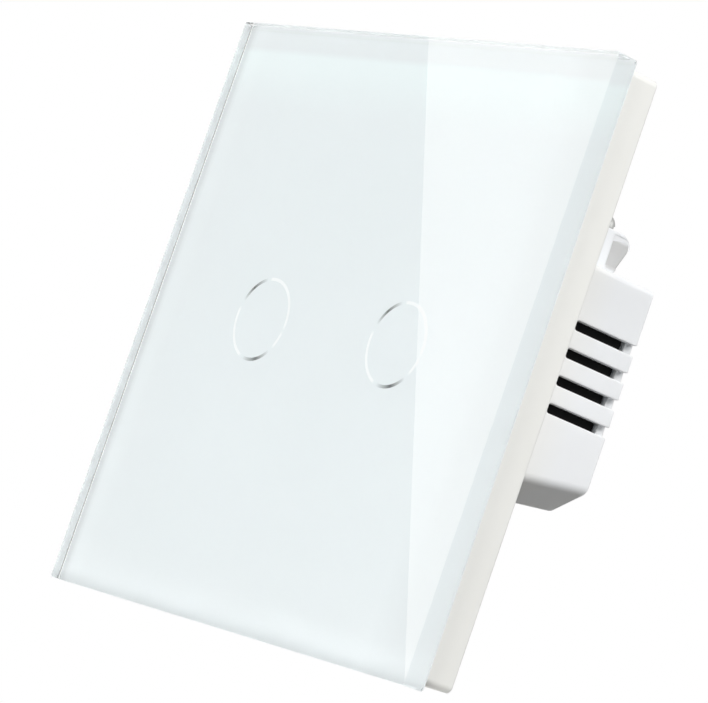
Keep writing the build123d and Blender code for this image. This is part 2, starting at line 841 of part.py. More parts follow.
for number, relay_x in enumerate((-relay_side, relay_side), start=1):
    with BuildPart() as relay_case:
        block(relay_width, power_board_back, relay_back, relay_length, (relay_x, relay_middle))
        fillet(relay_case.edges().filter_by(Axis.Y), relay_round)
        fillet(relay_case.faces().sort_by(Axis.Y)[-1].edges(), relay_round)
        block(
            case_inner_width,
            power_board_back - overrun,
            relay_back - relay_wall,
            case_inner_length,
            (relay_x, relay_middle),
            Mode.SUBTRACT,
        )
    save(relay_case, f"relay_{number}_case")

    with BuildPart() as relay_base:
        base_width = case_inner_width - 2 * relay_fit
        base_length = case_inner_length - 2 * relay_fit
        block(base_width, base_front, base_back, base_length, (relay_x, relay_middle))
        for side in (-1, 1):
            for end in (-1, 1):
                pin_x = relay_x + side * (base_width / 2 - relay_pin_width)
                pin_z = relay_middle + end * (base_length / 2 - relay_pin_width)
                pin_place = (pin_x, pin_z)
                block(relay_pin_width, power_board_back, base_front, relay_pin_thickness, pin_place)
    save(relay_base, f"relay_{number}_base")

    with BuildPart() as relay_yoke:
        plate_top = coil_middle + pole_radius
        block(
            yoke_width,
            base_back,
            yoke_back,
            plate_top - side_plate_outer,
            (relay_x, (plate_top + side_plate_outer) / 2),
        )
        block(
            yoke_width,
            base_back,
            pole_back,
            yoke_side_thickness,
            (relay_x, (side_plate_inner + side_plate_outer) / 2),
        )
        rod(core_radius, yoke_back, pole_front, (relay_x, coil_middle))
        rod(pole_radius, pole_front, pole_back, (relay_x, coil_middle))
    save(relay_yoke, f"relay_{number}_yoke")

    with BuildPart() as relay_bobbin:
        rod(bobbin_radius, bobbin_front, bobbin_front + bobbin_flange, (relay_x, coil_middle))
        rod(bobbin_tube_radius, bobbin_front, bobbin_back, (relay_x, coil_middle))
        rod(bobbin_radius, bobbin_back - bobbin_flange, bobbin_back, (relay_x, coil_middle))
        bore = core_radius + bobbin_bore_clearance
        rod(bore, bobbin_front - overrun, bobbin_back + overrun, (relay_x, coil_middle), Mode.SUBTRACT)
    save(relay_bobbin, f"relay_{number}_bobbin")

    with BuildPart() as relay_winding:
        winding_front = bobbin_front + bobbin_flange + winding_clearance
        winding_back = bobbin_back - bobbin_flange - winding_clearance
        rod(winding_radius, winding_front, winding_back, (relay_x, coil_middle))
        winding_bore = bobbin_tube_radius + winding_clearance
        rod(
            winding_bore,
            winding_front - overrun,
            winding_back + overrun,
            (relay_x, coil_middle),
            Mode.SUBTRACT,
        )
    save(relay_winding, f"relay_{number}_winding")

    with BuildPart() as relay_armature:
        armature_top = coil_middle + armature_reach
        block(
            yoke_width,
            armature_front,
            armature_back,
            armature_top - side_plate_outer,
            (relay_x, (armature_top + side_plate_outer) / 2),
        )
        block(
            yoke_width,
            pivot_depth,
            armature_front,
            armature_heel,
            (relay_x, pivot_height - armature_heel / 2),
        )
    save(relay_armature, f"relay_{number}_armature")

    with BuildPart() as relay_arm:
        arm_bottom = coil_middle - pole_radius
        arm_top = contact_middle + arm_reach
        block(
            arm_width,
            armature_back,
            armature_back + arm_thickness,
            arm_top - arm_bottom,
            (relay_x, (arm_top + arm_bottom) / 2),
        )
        rod(contact_radius, contact_front, armature_back, (relay_x, contact_middle))
    save(relay_arm, f"relay_{number}_contact_arm")

    with BuildPart() as fixed_contact:
        strip_back = fixed_contact_back - contact_button_height
        block(
            arm_width,
            base_back,
            strip_back,
            contact_strip_thickness,
            (relay_x, contact_post_place),
        )
        tab_bottom = contact_middle - contact_radius
        block(
            arm_width,
            strip_back - contact_strip_thickness,
            strip_back,
            contact_post_place - tab_bottom,
            (relay_x, (contact_post_place + tab_bottom) / 2),
        )
        rod(contact_radius, strip_back, fixed_contact_back, (relay_x, contact_middle))
    save(fixed_contact, f"relay_{number}_fixed_contact")

# Busbars that carry the current from the cages down to the power board
with BuildPart() as terminal_busbars:
    for x in terminal_places:
        busbar_top = leg_bottom + busbar_height
        block(
            busbar_width,
            busbar_front,
            busbar_back,
            busbar_height,
            (x, (leg_bottom + busbar_top) / 2),
        )
        block(
            busbar_width,
            power_board_back,
            busbar_back,
            busbar_leg_thickness,
            (x, (leg_bottom + leg_top) / 2),
        )
save(terminal_busbars, "terminal_busbars")

# Clamp cages and the captive screws that draw them up, one pair for each wire
for name, x in zip(terminal_names, terminal_places):
    with BuildPart() as clamp_cage:
        block(cage_width, cage_front, cage_back, cage_height, (x, terminal_height))
        block(
            cage_width - 2 * cage_side_wall,
            cage_front + cage_front_wall,
            cage_back - cage_thread_wall,
            cage_height + 2 * overrun,
            (x, terminal_height),
            Mode.SUBTRACT,
        )
        rod(
            clamp_screw_radius + clamp_screw_clearance,
            cage_back - cage_thread_wall - overrun,
            cage_back + overrun,
            (x, terminal_height),
            Mode.SUBTRACT,
        )
    save(clamp_cage, f"clamp_cage_{name}")

    with BuildPart() as clamp_screw:
        head_back = clamp_screw_head_front + clamp_screw_head_height
        rod(clamp_screw_head_radius, clamp_screw_head_front, head_back, (x, terminal_height))
        fillet(clamp_screw.edges().sort_by(Axis.Y)[-1], clamp_screw_head_round)
        tip_front = busbar_back + clamp_screw_clearance
        rod(clamp_screw_radius, tip_front, clamp_screw_head_front, (x, terminal_height))
        block(
            2 * clamp_screw_head_radius,
            head_back - clamp_screw_slot_depth,
            head_back + overrun,
            clamp_screw_slot_width,
            (x, terminal_height),
            Mode.SUBTRACT,
        )
    save(clamp_screw, f"clamp_screw_{name}")
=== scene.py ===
import json
from math import cos, pi, radians, sin, tan

import bmesh
import bpy
from mathutils import Matrix, Vector


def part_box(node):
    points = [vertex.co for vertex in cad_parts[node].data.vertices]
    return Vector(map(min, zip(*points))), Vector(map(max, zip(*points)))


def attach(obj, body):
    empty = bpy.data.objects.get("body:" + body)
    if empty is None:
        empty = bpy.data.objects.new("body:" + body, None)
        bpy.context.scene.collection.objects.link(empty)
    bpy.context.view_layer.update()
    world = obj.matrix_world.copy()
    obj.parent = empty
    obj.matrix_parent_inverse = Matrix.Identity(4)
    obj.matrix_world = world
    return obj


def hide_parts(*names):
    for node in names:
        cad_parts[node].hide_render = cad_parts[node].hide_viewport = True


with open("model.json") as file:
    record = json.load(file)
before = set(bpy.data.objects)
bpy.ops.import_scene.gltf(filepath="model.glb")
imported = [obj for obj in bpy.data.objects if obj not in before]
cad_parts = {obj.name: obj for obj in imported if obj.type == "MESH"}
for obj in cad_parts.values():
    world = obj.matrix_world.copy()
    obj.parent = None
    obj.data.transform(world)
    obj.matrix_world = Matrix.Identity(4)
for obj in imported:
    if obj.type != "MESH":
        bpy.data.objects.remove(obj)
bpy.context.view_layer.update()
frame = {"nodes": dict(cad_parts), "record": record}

# Two-ring touch light switch with a glass panel, seen from below and from its right side.
# Lengths are in metres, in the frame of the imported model: +X right, +Z up, +Y into the wall.

nodes = frame["nodes"]

# Camera of the photograph
camera_place = Vector((0.42576, -0.31088, -0.05568))
camera_aim = Vector((-0.00083, -0.00099, -0.00084))
camera_roll = radians(19.09)
camera_lens = 195.53
camera_sensor = 36
camera_near = 0.01

# Room and lamps. The room is at its low level where a ray rises less steeply than room_low_rise, and at its
# high level where it rises more steeply than room_high_rise. Both are the Z of a direction of length 1.
room_high = 0.4
room_low = 0.045
room_low_rise = -0.3
room_high_rise = 0.4
background_white = 1.0
floor_height = -1.1
floor_side = 1.3
floor_near = -2.6
floor_far = -0.1
floor_colour = (0.84, 0.81, 0.74)
floor_roughness = 0.9
key_place = (0.02, -0.8, -0.45)
key_size = 0.8
key_power = 9.9
side_place = (0.8, 0.15, 0.56)
side_size = 0.6
side_power = 9.3

# Light card that the right part of the glass mirrors. Its left edge is seen on the glass through two places,
# given by X and Z, and goes on past them by a share of the way between them.
card_depth = -0.5
card_glow = 2.35
card_colour = (1.0, 0.93, 0.9)
card_edge_top = (0.0018, 0.0431)
card_edge_bottom = (0.043, -0.0427)
card_far_x = 0.075
card_above_share = 0.4
card_below_share = 0.2

# Glass
glass_overlap = 0.00001
glass_index = 1.52
glass_corner = 0.0004
glass_corner_steps = 4
glass_edge = 0.00004
glass_tint_scale = 60
glass_tints = [(0.985, 0.997, 0.994), (0.99, 0.998, 0.997)]
glass_depth_colour = (0.5, 0.7, 0.68)
glass_depth_density = 6.0
border_gap_left = 0.0002
border_gap = 0.00003

# White print on the glass. Painted shade and painted highlight: its tone goes by the distance from the
# print's left, top and right edges, darker in bands along the left and top edges with lighter bands inside
# them, and darker along the right edge.
print_colour = (0.85, 0.884, 0.9)
print_variation = 0.004
print_roughness = 0.6
print_specular = 0.4
print_left_reach = 0.006
print_left_painted_light = [
    (0.0, 0.91),
    (0.05, 0.86),
    (0.12, 0.88),
    (0.2, 0.95),
    (0.32, 1.01),
    (0.6, 1.015),
    (1.0, 1.0),
]
print_top_reach = 0.012
print_top_painted_light = [
    (0.0, (0.97, 0.96, 0.96)),
    (0.035, (0.93, 0.93, 0.92)),
    (0.045, (0.96, 0.96, 0.96)),
    (0.08, (0.98, 0.98, 0.98)),
    (0.24, (0.975, 0.975, 0.975)),
    (0.32, (1.03, 1.06, 1.05)),
    (0.45, (1.03, 1.06, 1.05)),
    (1.0, (1.0, 1.0, 1.0)),
]
print_right_reach = 0.012
print_right_painted_shade = [
    (0.0, 0.94),
    (0.5, 0.95),
    (1.0, 1.0),
]

# Silver rings. Painted reflection: bright and dark arcs are painted into their colour by the angle round
# them, in degrees from +X towards +Z.
ring_line = 0.00046
ring_lift = 0.000004
ring_steps = 180
ring_roughness = (0.4, 0.55)
ring_gloss_scale = 3000
ring_specular = 0.4
ring_painted_glint = (0.985, 0.995, 1.0)
ring_plain = (0.85, 0.89, 0.905)
ring_painted_dark = (0.08, 0.09, 0.09)
ring_painted_reflections = [
    (-180, ring_painted_glint),
    (-114, ring_painted_glint),
    (-109, ring_plain),
    (-103, ring_plain),
    (-73, ring_painted_dark),
    (-45, ring_plain),
    (-39, ring_plain),
    (-33, ring_painted_glint),
    (-18, ring_painted_glint),
    (-10, ring_plain),
    (-2, ring_painted_glint),
    (96, ring_painted_glint),
    (100, ring_plain),
    (105, ring_plain),
    (134, ring_painted_dark),
    (158, ring_plain),
    (167, ring_plain),
    (173, ring_painted_glint),
    (180, ring_painted_glint),
]

# Values of a noise texture up to which its first tone holds, and from which its second tone holds
noise_low = 0.3
noise_high = 0.7

# Plastics. Scales are in turns per metre, and a spread is added to the roughness.
cloud_scale = 45
plastic_gloss_scale = 380
plastic_gloss_spread = (-0.04, 0.05)
plastic_grain_scale = 5200
plastic_grain_strength = 0.35

# Metals, in the same way
metal_stain_scale = 700
metal_variation = 0.08
metal_gloss_scale = 2400
metal_gloss_spread = (-0.06, 0.1)
metal_grain_scale = 6000
metal_grain_strength = 0.2
metal_grain = 0.00001

# Edges that look rounded, by their radius
edge_samples = 6
frame_edge = 0.0002
casing_edge = 0.0003

# Light that scatters in the white plastics
scatter_share = 0.6
scatter_depth = 0.0008

# Painted shade: the casing's colour is made a little darker towards its top
casing_shade_foot = 0.002
casing_shade_top = 0.016
casing_top_shade = 0.93

# The casing is a little creamier near the frame
casing_cream_front = 0.0095
casing_cream_back = 0.019
casing_cream_tones = [
    (0.0, (0.995, 0.975, 0.915)),
    (0.45, (0.99, 0.975, 0.94)),
    (1.0, (1.0, 1.0, 1.0)),
]

# Painted shade, greying the casing's colour in the recessed pockets of the outer fins
pocket_front = 0.02215
pocket_foot = 0.0216
pocket_top = 0.0257
pocket_blur = 0.0003
pocket_shade_tone = (0.68, 0.67, 0.655)

# Hollow corner under the lip of these pockets
lip_side = 0.0166
lip_front = 0.0221
lip_back = 0.02545
lip_top = 0.02635
lip_corner = 0.00135
lip_depth = 0.00035
lip_tilt = radians(5)
lip_hollow = 0.0009
lip_overlap = 0.00001
lip_steps = 8


def show(name, data):
    """A new object in the scene."""
    thing = bpy.data.objects.new(name, data)
    bpy.context.scene.collection.objects.link(thing)
    return thing


def place_camera():
    """The camera at the photograph's viewing angle."""
    data = bpy.data.cameras.new("camera")
    data.sensor_width = camera_sensor
    data.lens = camera_lens
    data.clip_start = camera_near
    camera = show("camera", data)
    turn = (camera_aim - camera_place).to_track_quat("-Z", "Y").to_matrix().to_4x4()
    camera.matrix_world = Matrix.Translation(camera_place) @ turn @ Matrix.Rotation(camera_roll, 4, "Z")
    bpy.context.scene.camera = camera


def area_lamp(name, place, size, power):
    """A square soft box that faces the object. The camera doesn't see it."""
    data = bpy.data.lights.new(name, "AREA")
    data.shape = "SQUARE"
    data.size = size
    data.energy = power
    lamp = show(name, data)
    turn = (-Vector(place)).to_track_quat("-Z", "Y").to_matrix().to_4x4()
    lamp.matrix_world = Matrix.Translation(place) @ turn
    lamp.visible_camera = False


def axes(tree, space="Object"):
    """The three parts of a place in the row frame, or of another kind of texture coordinate."""
    where = tree.nodes.new("ShaderNodeTexCoord")
    split = tree.nodes.new("ShaderNodeSeparateXYZ")
    tree.links.new(where.outputs[space], split.inputs["Vector"])
    return split.outputs


def combine(tree, operation, first, second):
    """Two values put through a math operation."""
    node = tree.nodes.new("ShaderNodeMath")
    node.operation = operation
    tree.links.new(first, node.inputs[0])
    tree.links.new(second, node.inputs[1])
    return node.outputs[0]


def map_range(tree, value, start, end, smooth=False):
    """A node that turns a value into 0 at the start and 1 at the end."""
    node = tree.nodes.new("ShaderNodeMapRange")
    if smooth:
        node.interpolation_type = "SMOOTHSTEP"
    node.inputs["From Min"].default_value = start
    node.inputs["From Max"].default_value = end
    tree.links.new(value, node.inputs["Value"])
    return node


def light_world():
    """A pale room, dimmer below. The camera, glossy surfaces and glass see it as white."""
    world = bpy.data.worlds.new("studio")
    bpy.context.scene.world = world
    world.use_nodes = True
    tree = world.node_tree
    tree.nodes.clear()
    output = tree.nodes.new("ShaderNodeOutputWorld")
    room = tree.nodes.new("ShaderNodeBackground")
    white = tree.nodes.new("ShaderNodeBackground")
    mix = tree.nodes.new("ShaderNodeMixShader")
    path = tree.nodes.new("ShaderNodeLightPath").outputs
    rise = axes(tree, "Generated")["Z"]
    level = map_range(tree, rise, room_low_rise, room_high_rise, smooth=True)
    level.inputs["To Min"].default_value = room_low
    level.inputs["To Max"].default_value = room_high
    tree.links.new(level.outputs["Result"], room.inputs["Strength"])
    white.inputs["Color"].default_value = (1, 1, 1, 1)
    white.inputs["Strength"].default_value = background_white
    room.inputs["Color"].default_value = (1, 1, 1, 1)
    seen = combine(tree, "MAXIMUM", path["Is Camera Ray"], path["Is Glossy Ray"])
    shown = combine(tree, "MAXIMUM", seen, path["Is Transmission Ray"])
    tree.links.new(shown, mix.inputs["Fac"])
    tree.links.new(room.outputs[0], mix.inputs[1])
    tree.links.new(white.outputs[0], mix.inputs[2])
    tree.links.new(mix.outputs[0], output.inputs["Surface"])


def blank_material(name):
    """A material with a bare Principled shader, and its tree and shader."""
    material = bpy.data.materials.new(name)
    material.use_nodes = True
    return material, material.node_tree, material.node_tree.nodes["Principled BSDF"]


def flat_mesh(name, corners):
    """A single flat face."""
    mesh = bpy.data.meshes.new(name)
    mesh.from_pydata(corners, [], [tuple(range(len(corners)))])
    return show(name, mesh)


def stage_floor():
    """A plain pale floor far below the object, in front of it."""
    floor = flat_mesh("floor", [
        (-floor_side, floor_near, floor_height),
        (floor_side, floor_near, floor_height),
        (floor_side, floor_far, floor_height),
        (-floor_side, floor_far, floor_height),
    ])
    material, _, shader = blank_material("floor")
    shader.inputs["Base Color"].default_value = (*floor_colour, 1)
    shader.inputs["Roughness"].default_value = floor_roughness
    floor.data.materials.append(material)


def stage_card():
    """A pale, slightly warm card to the front left, which only glossy surfaces see."""
    glass_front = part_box("glass_panel")[0].y
    mirrored = Vector((camera_place.x, 2 * glass_front - camera_place.y, camera_place.z))

    def seen_at(x, z):
        """The place on the card that the camera sees at this place of the glass."""
        ray = Vector((x, glass_front, z)) - mirrored
        return mirrored + ray * ((card_depth - mirrored.y) / ray.y)

    top = Vector(card_edge_top)
    bottom = Vector(card_edge_bottom)
    above = top + (top - bottom) * card_above_share
    below = bottom + (bottom - top) * card_below_share
    card = flat_mesh("light_card", [
        seen_at(*above),
        seen_at(*below),
        seen_at(card_far_x, below.y),
        seen_at(card_far_x, above.y),
    ])
    material, tree, shader = blank_material("light_card")
    tree.nodes.remove(shader)
    output = tree.nodes["Material Output"]
    glow = tree.nodes.new("ShaderNodeEmission")
    glow.inputs["Color"].default_value = (*card_colour, 1)
    glow.inputs["Strength"].default_value = card_glow
    tree.links.new(glow.outputs[0], output.inputs["Surface"])
    card.data.materials.append(material)
    card.visible_camera = False
    card.visible_diffuse = False
    card.visible_transmission = False
    card.visible_shadow = False


def noise(tree, scale, detail, roughness=0.5):
    """A noise texture in the row frame, in turns per metre."""
    where = tree.nodes.new("ShaderNodeTexCoord")
    texture = tree.nodes.new("ShaderNodeTexNoise")
    texture.inputs["Scale"].default_value = scale
    texture.inputs["Detail"].default_value = detail
    texture.inputs["Roughness"].default_value = roughness
    tree.links.new(where.outputs["Object"], texture.inputs["Vector"])
    return texture.outputs["Fac"]


def ramp(tree, value, stops):
    """A colour ramp over a value. Stops are pairs of a place and a colour or a level."""
    node = tree.nodes.new("ShaderNodeValToRGB")
    elements = node.color_ramp.elements
    while len(elements) < len(stops):
        elements.new(0.5)
    for element, (place, colour) in zip(elements, stops):
        element.position = place
        element.color = (*colour, 1) if isinstance(colour, tuple) else (colour, colour, colour, 1)
    tree.links.new(value, node.inputs["Fac"])
    return node.outputs["Color"]


def between(tree, value, first, second):
    """Colours or levels from the first to the second, by the value of a noise texture."""
    return ramp(tree, value, [(noise_low, first), (noise_high, second)])


def relief(tree, shader, height, strength, distance, edge=0.0):
    """Fine relief of a surface, with edges that look rounded by a small radius."""
    node = tree.nodes.new("ShaderNodeBump")
    node.inputs["Strength"].default_value = strength
    node.inputs["Distance"].default_value = distance
    tree.links.new(height, node.inputs["Height"])
    if edge:
        soft = tree.nodes.new("ShaderNodeBevel")
        soft.samples = edge_samples
        soft.inputs["Radius"].default_value = edge
        tree.links.new(soft.outputs["Normal"], node.inputs["Normal"])
    tree.links.new(node.outputs["Normal"], shader.inputs["Normal"])


def shade(colour, share):
    """A colour made darker or lighter by a share."""
    return tuple(min(1.0, level * share) for level in colour)


def plastic(name, colour, roughness=0.42, variation=0.012, grain=0.000012, specular=0.4, edge=0.0):
    """Moulded plastic: faint flow clouds, satin gloss that varies, and a fine spark-eroded grain."""
    material, tree, shader = blank_material(name)
    clouds = noise(tree, cloud_scale, detail=4)
    tones = between(tree, clouds, shade(colour, 1 - variation), shade(colour, 1 + variation))
    tree.links.new(tones, shader.inputs["Base Color"])
    gloss = noise(tree, plastic_gloss_scale, detail=2)
    levels = between(tree, gloss, *[roughness + spread for spread in plastic_gloss_spread])
    tree.links.new(levels, shader.inputs["Roughness"])
    relief(tree, shader, noise(tree, plastic_grain_scale, detail=2), plastic_grain_strength, grain, edge)
    shader.inputs["Specular IOR Level"].default_value = specular
    return material


def metal(name, colour, roughness=0.3):
    """Plated or stamped metal: small stains and uneven gloss."""
    material, tree, shader = blank_material(name)
    stains = noise(tree, metal_stain_scale, detail=5, roughness=0.6)
    tones = between(tree, stains, shade(colour, 1 - metal_variation), shade(colour, 1 + metal_variation / 2))
    tree.links.new(tones, shader.inputs["Base Color"])
    gloss = noise(tree, metal_gloss_scale, detail=3, roughness=0.6)
    levels = between(tree, gloss, *[roughness + spread for spread in metal_gloss_spread])
    tree.links.new(levels, shader.inputs["Roughness"])
    relief(tree, shader, noise(tree, metal_grain_scale, detail=2), metal_grain_strength, metal_grain)
    shader.inputs["Metallic"].default_value = 1.0
    return material


def clear_glass():
    """Float glass: polished, and faintly green where light travels far in it."""
    material, tree, shader = blank_material("clear_glass")
    tint = between(tree, noise(tree, glass_tint_scale, detail=2), *glass_tints)
    tree.links.new(tint, shader.inputs["Base Color"])
    shader.inputs["Transmission Weight"].default_value = 1.0
    shader.inputs["Roughness"].default_value = 0.0
    shader.inputs["IOR"].default_value = glass_index
    absorb = tree.nodes.new("ShaderNodeVolumeAbsorption")
    absorb.inputs["Color"].default_value = (*glass_depth_colour, 1)
    absorb.inputs["Density"].default_value = glass_depth_density
    tree.links.new(absorb.outputs["Volume"], tree.nodes["Material Output"].inputs["Volume"])
    return material


def distance_tones(tree, axis, start, end, stops):
    """Tones along one axis of the row frame, from the place start to the place end."""
    return ramp(tree, map_range(tree, axes(tree)[axis], start, end).outputs["Result"], stops)


def soft_band(tree, edges, blur):
    """1 inside some edges and 0 outside, with a soft change.

    An edge is an axis, a place on it and the side of the place that is inside, 1 or -1.
    """
    places = axes(tree)
    reaches = []
    for axis, place, side in edges:
        reach = map_range(tree, places[axis], place - side * blur, place + side * blur, smooth=True)
        reaches.append(reach.outputs["Result"])
    inside = reaches[0]
    for reach in reaches[1:]:
        inside = combine(tree, "MULTIPLY", inside, reach)
    return inside


def product(tree, first, second):
    """Two colours multiplied."""
    node = tree.nodes.new("ShaderNodeVectorMath")
    node.operation = "MULTIPLY"
    tree.links.new(first, node.inputs[0])
    tree.links.new(second, node.inputs[1])
    return node.outputs["Vector"]


def white_ink():
    """White ink behind the glass, with painted shade and painted highlight in bands along its left, top and
    right edges.
    """
    material, tree, shader = blank_material("white_print")
    low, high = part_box("glass_print")
    darker = shade(print_colour, 1 - print_variation)
    lighter = shade(print_colour, 1 + print_variation)
    ink = between(tree, noise(tree, cloud_scale, detail=4), darker, lighter)
    # Painted shade and highlight near the left and top edges, painted shade near the right edge
    left = distance_tones(tree, "X", low.x, low.x + print_left_reach, print_left_painted_light)
    top = distance_tones(tree, "Z", high.z, high.z - print_top_reach, print_top_painted_light)
    right = distance_tones(tree, "X", high.x, high.x - print_right_reach, print_right_painted_shade)
    sides = product(tree, left, right)
    tree.links.new(product(tree, product(tree, ink, sides), top), shader.inputs["Base Color"])
    shader.inputs["Roughness"].default_value = print_roughness
    shader.inputs["Specular IOR Level"].default_value = print_specular
    return material


def silver_ring(name, place):
    """Silver ink with painted reflections: brighter or darker arcs painted by the angle round the ring, as
    in the photograph.
    """
    material, tree, shader = blank_material(name)
    where = tree.nodes.new("ShaderNodeTexCoord")
    move = tree.nodes.new("ShaderNodeVectorMath")
    move.operation = "SUBTRACT"
    move.inputs[1].default_value = place
    split = tree.nodes.new("ShaderNodeSeparateXYZ")
    tree.links.new(where.outputs["Object"], move.inputs[0])
    tree.links.new(move.outputs["Vector"], split.inputs["Vector"])
    angle = combine(tree, "ARCTAN2", split.outputs["Z"], split.outputs["X"])
    turns = map_range(tree, angle, -pi, pi)
    # Painted reflection: the ring's colour goes from glint to dark by the angle round it
    stops = [((180 + degrees) / 360, tone) for degrees, tone in ring_painted_reflections]
    tree.links.new(ramp(tree, turns.outputs["Result"], stops), shader.inputs["Base Color"])
    levels = between(tree, noise(tree, ring_gloss_scale, detail=2), *ring_roughness)
    tree.links.new(levels, shader.inputs["Roughness"])
    shader.inputs["Specular IOR Level"].default_value = ring_specular
    return material


def laminate():
    """Green solder resist over copper tracks on glass-fibre laminate."""
    material, tree, shader = blank_material("board_laminate")
    tracks = tree.nodes.new("ShaderNodeTexBrick")
    where = tree.nodes.new("ShaderNodeTexCoord")
    turn = tree.nodes.new("ShaderNodeMapping")
    turn.inputs["Rotation"].default_value = (pi / 2, 0, 0)
    tracks.inputs["Scale"].default_value = 260
    tracks.inputs["Mortar Size"].default_value = 0.03
    tracks.inputs["Color1"].default_value = (0.02, 0.16, 0.065, 1)
    tracks.inputs["Color2"].default_value = (0.024, 0.18, 0.075, 1)
    tracks.inputs["Mortar"].default_value = (0.06, 0.3, 0.12, 1)
    tree.links.new(where.outputs["Object"], turn.inputs["Vector"])
    tree.links.new(turn.outputs["Vector"], tracks.inputs["Vector"])
    tree.links.new(tracks.outputs["Color"], shader.inputs["Base Color"])
    levels = between(tree, noise(tree, scale=500, detail=3), 0.2, 0.32)
    tree.links.new(levels, shader.inputs["Roughness"])
    relief(tree, shader, tracks.outputs["Fac"], strength=0.4, distance=0.00003)
    return material


def winding():
    """Enamelled copper wire, wound in tight turns along +Y."""
    material, tree, shader = blank_material("copper_wire")
    where = tree.nodes.new("ShaderNodeTexCoord")
    wave = tree.nodes.new("ShaderNodeTexWave")
    wave.bands_direction = "Y"
    wave.inputs["Scale"].default_value = 1200
    wave.inputs["Distortion"].default_value = 0.6
    tree.links.new(where.outputs["Object"], wave.inputs["Vector"])
    stops = [(0.1, (0.22, 0.06, 0.02)), (0.8, (0.72, 0.3, 0.13))]
    tree.links.new(ramp(tree, wave.outputs["Fac"], stops), shader.inputs["Base Color"])
    shader.inputs["Metallic"].default_value = 0.85
    shader.inputs["Roughness"].default_value = 0.35
    relief(tree, shader, wave.outputs["Fac"], strength=0.6, distance=0.00006)
    return material


def scatter(material):
    """Let some light scatter below the surface of a plastic. Returns the material."""
    shader = material.node_tree.nodes["Principled BSDF"]
    shader.inputs["Subsurface Weight"].default_value = scatter_share
    shader.inputs["Subsurface Radius"].default_value = (1, 1, 1)
    shader.inputs["Subsurface Scale"].default_value = scatter_depth
    return material


def casing_skin(name, colour):
    """Casing plastic with soft edges, with painted shade that darkens it upwards and in the fins' pockets,
    and creamier in front.
    """
    material = plastic(name, colour, edge=casing_edge)
    tree = material.node_tree
    shader = tree.nodes["Principled BSDF"]
    skin = shader.inputs["Base Color"].links[0].from_socket
    # Painted shade: darker towards the top of the casing
    rise = distance_tones(tree, "Z", casing_shade_foot, casing_shade_top, [(0.0, 1.0), (1.0, casing_top_shade)])
    skin = product(tree, skin, rise)
    cream = distance_tones(tree, "Y", casing_cream_front, casing_cream_back, casing_cream_tones)
    skin = product(tree, skin, cream)
    pocket_edges = [
        ("Y", pocket_front, 1),
        ("Z", pocket_foot, 1),
        ("Z", pocket_top, -1),
    ]
    # Painted shade in the recessed pockets of the outer fins
    pocket = soft_band(tree, pocket_edges, pocket_blur)
    painted_pocket_shade = ramp(tree, pocket, [(0.0, (1.0, 1.0, 1.0)), (1.0, pocket_shade_tone)])
    tree.links.new(product(tree, skin, painted_pocket_shade), shader.inputs["Base Color"])
    return material


def dress(slot_materials):
    """Give every CAD node the material of its slot."""
    for part in frame["record"]["subparts"]:
        name = part["node"]
        node = nodes[name]
        material = slot_materials[part["material_slot"]]
        if not node.material_slots:
            node.data.materials.append(material)
        for slot in node.material_slots:
            slot.material = material


def solid_piece(name, shape, material):
    """An object from a bmesh shape."""
    mesh = bpy.data.meshes.new(name)
    shape.to_mesh(mesh)
    shape.free()
    mesh.materials.append(material)
    return show(name, mesh)


def add_block(shape, low, high):
    """A block between two corners, added to a bmesh shape."""
    verts = bmesh.ops.create_cube(shape, size=1)["verts"]
    bmesh.ops.scale(shape, vec=high - low, verts=verts)
    bmesh.ops.translate(shape, vec=(low + high) / 2, verts=verts)


def round_edges(shape, edges, offset, steps):
    """Some edges of a bmesh shape, rounded in a number of steps. One step is a plain facet."""
    bmesh.ops.bevel(shape, geom=edges, offset=offset, segments=steps, affect="EDGES", profile=0.5)


def glass_piece(material):
    """The glass panel with ground edges. Its back overlaps the print by a hair, so there is no gap."""
    low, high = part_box("glass_panel")
    high.y += glass_overlap
    middle = (low.y + high.y) / 2
    shape = bmesh.new()
    add_block(shape, low, high)
    corners = [edge for edge in shape.edges if len({vertex.co.y < middle for vertex in edge.verts}) == 2]
    round_edges(shape, corners, glass_corner, glass_corner_steps)
    rims = [edge for edge in shape.edges if all(vertex.co.y < middle for vertex in edge.verts)]
    round_edges(shape, rims, glass_edge, 1)
    piece = solid_piece("glass_sheet", shape, material)
    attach(piece, "front_panel")
    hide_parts("glass_panel")


def print_border(material):
    """The thin rest of the print, from the even sheet nearly to the edge of the glass."""
    low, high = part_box("glass_print")
    glass_low, glass_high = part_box("glass_panel")
    outer_low = glass_low + Vector((border_gap_left, 0, border_gap))
    outer_high = glass_high - Vector((border_gap, 0, border_gap))
    strips = [
        (outer_low.x, low.z, low.x, high.z),
        (high.x, low.z, outer_high.x, high.z),
        (low.x, outer_low.z, high.x, low.z),
        (low.x, high.z, high.x, outer_high.z),
    ]
    shape = bmesh.new()
    for x, z, far_x, far_z in strips:
        add_block(shape, Vector((x, low.y, z)), Vector((far_x, high.y, far_z)))
    piece = solid_piece("print_border", shape, material)
    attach(piece, "front_panel")


def ring_piece(node, material):
    """A silver ring with the outer edge of the CAD ring and a wider line."""
    low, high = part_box(node)
    centre = (low + high) / 2
    outer = (high.x - low.x) / 2
    inner = outer - ring_line
    front = low.y - ring_lift
    angles = [2 * pi * step / ring_steps for step in range(ring_steps)]
    shape = bmesh.new()
    loops = []
    for reach, depth in [(inner, front), (outer, front), (outer, high.y), (inner, high.y)]:
        points = [(centre.x + reach * cos(angle), depth, centre.z + reach * sin(angle)) for angle in angles]
        loops.append([shape.verts.new(point) for point in points])
    for loop, other in zip(loops, loops[1:] + loops[:1]):
        for step in range(ring_steps):
            shape.faces.new((loop[step - 1], loop[step], other[step], other[step - 1]))
    bmesh.ops.recalc_face_normals(shape, faces=shape.faces)
    piece = solid_piece(f"{node}_line", shape, material)
    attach(piece, "front_panel")
    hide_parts(node)


